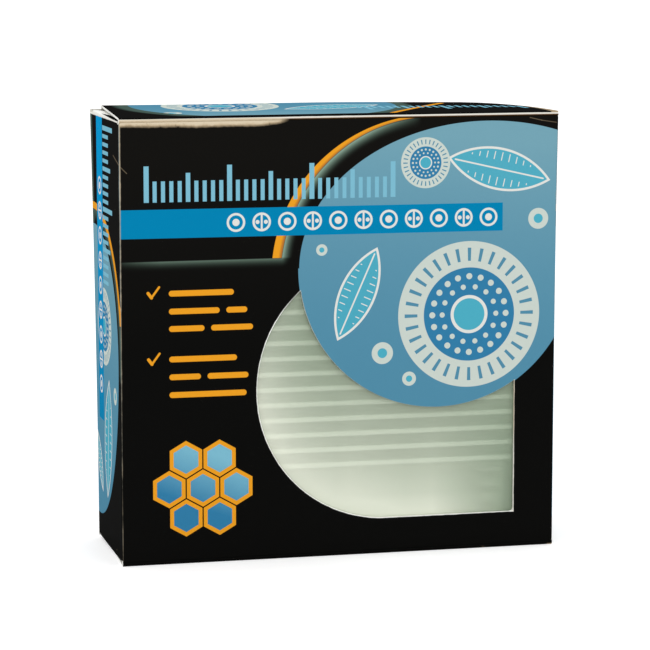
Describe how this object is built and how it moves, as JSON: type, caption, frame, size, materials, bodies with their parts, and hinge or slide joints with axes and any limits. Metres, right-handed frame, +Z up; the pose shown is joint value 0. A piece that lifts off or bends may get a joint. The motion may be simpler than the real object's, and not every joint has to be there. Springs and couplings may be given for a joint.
{
  "type": "boxed microscope slide set",
  "caption": "Windowed tuck-end carton holding a slotted plastic case of blank glass microscope slides on edge; its top and bottom closures hinge open with their tuck flaps.",
  "frame": {"origin": "middle of the base the carton stands on", "axes": "+X across the front to the right as seen from the front, +Y from the front to the back, +Z up"},
  "size_m": [0.093, 0.031, 0.093],
  "materials": {
    "board": "gloss-coated printed folding board, black ground, white core at its cut edges",
    "case_tray": "milky natural plastic, smooth",
    "case_clear": "clear moulded plastic",
    "wire": "drawn steel wire",
    "slide_glass": "clear soda-lime glass with ground edges"
  },
  "bodies": {
    "box": {"carton": "board", "case_base": "case_tray", "case_cover": "case_clear", "case_hinge_pin": "wire", "slide_01": "slide_glass", "slide_02": "slide_glass", "slide_03": "slide_glass", "slide_04": "slide_glass", "slide_05": "slide_glass", "slide_06": "slide_glass", "slide_07": "slide_glass", "slide_08": "slide_glass", "slide_09": "slide_glass", "slide_10": "slide_glass", "slide_11": "slide_glass", "slide_12": "slide_glass", "slide_13": "slide_glass", "slide_14": "slide_glass", "slide_15": "slide_glass", "slide_16": "slide_glass", "slide_17": "slide_glass", "slide_18": "slide_glass", "slide_19": "slide_glass", "slide_20": "slide_glass"},
    "top_closure": {"top_lid": "board"},
    "top_flap": {"top_tuck": "board"},
    "bottom_closure": {"bottom_lid": "board"},
    "bottom_flap": {"bottom_tuck": "board"}
  },
  "joints": [
    {"name": "top_lid_hinge", "type": "hinge", "parent": "box", "child": "top_closure", "pos_m": [0, -0.0149, 0.0919], "axis": [1, 0, 0], "range_deg": [0, 120]},
    {"name": "top_tuck_hinge", "type": "hinge", "parent": "top_closure", "child": "top_flap", "pos_m": [0, 0.01429, 0.09256], "axis": [1, 0, 0], "range_deg": [-82, 0]},
    {"name": "bottom_lid_hinge", "type": "hinge", "parent": "box", "child": "bottom_closure", "pos_m": [0, -0.0149, 0.0006], "axis": [-1, 0, 0], "range_deg": [0, 120]},
    {"name": "bottom_tuck_hinge", "type": "hinge", "parent": "bottom_closure", "child": "bottom_flap", "pos_m": [0, 0.0143, 0.00045], "axis": [-1, 0, 0], "range_deg": [-82, 0]}
  ],
  "couplings": [
    {"joint": "top_tuck_hinge", "follows": "top_lid_hinge", "ratio": -0.68},
    {"joint": "bottom_tuck_hinge", "follows": "bottom_lid_hinge", "ratio": -0.68}
  ]
}
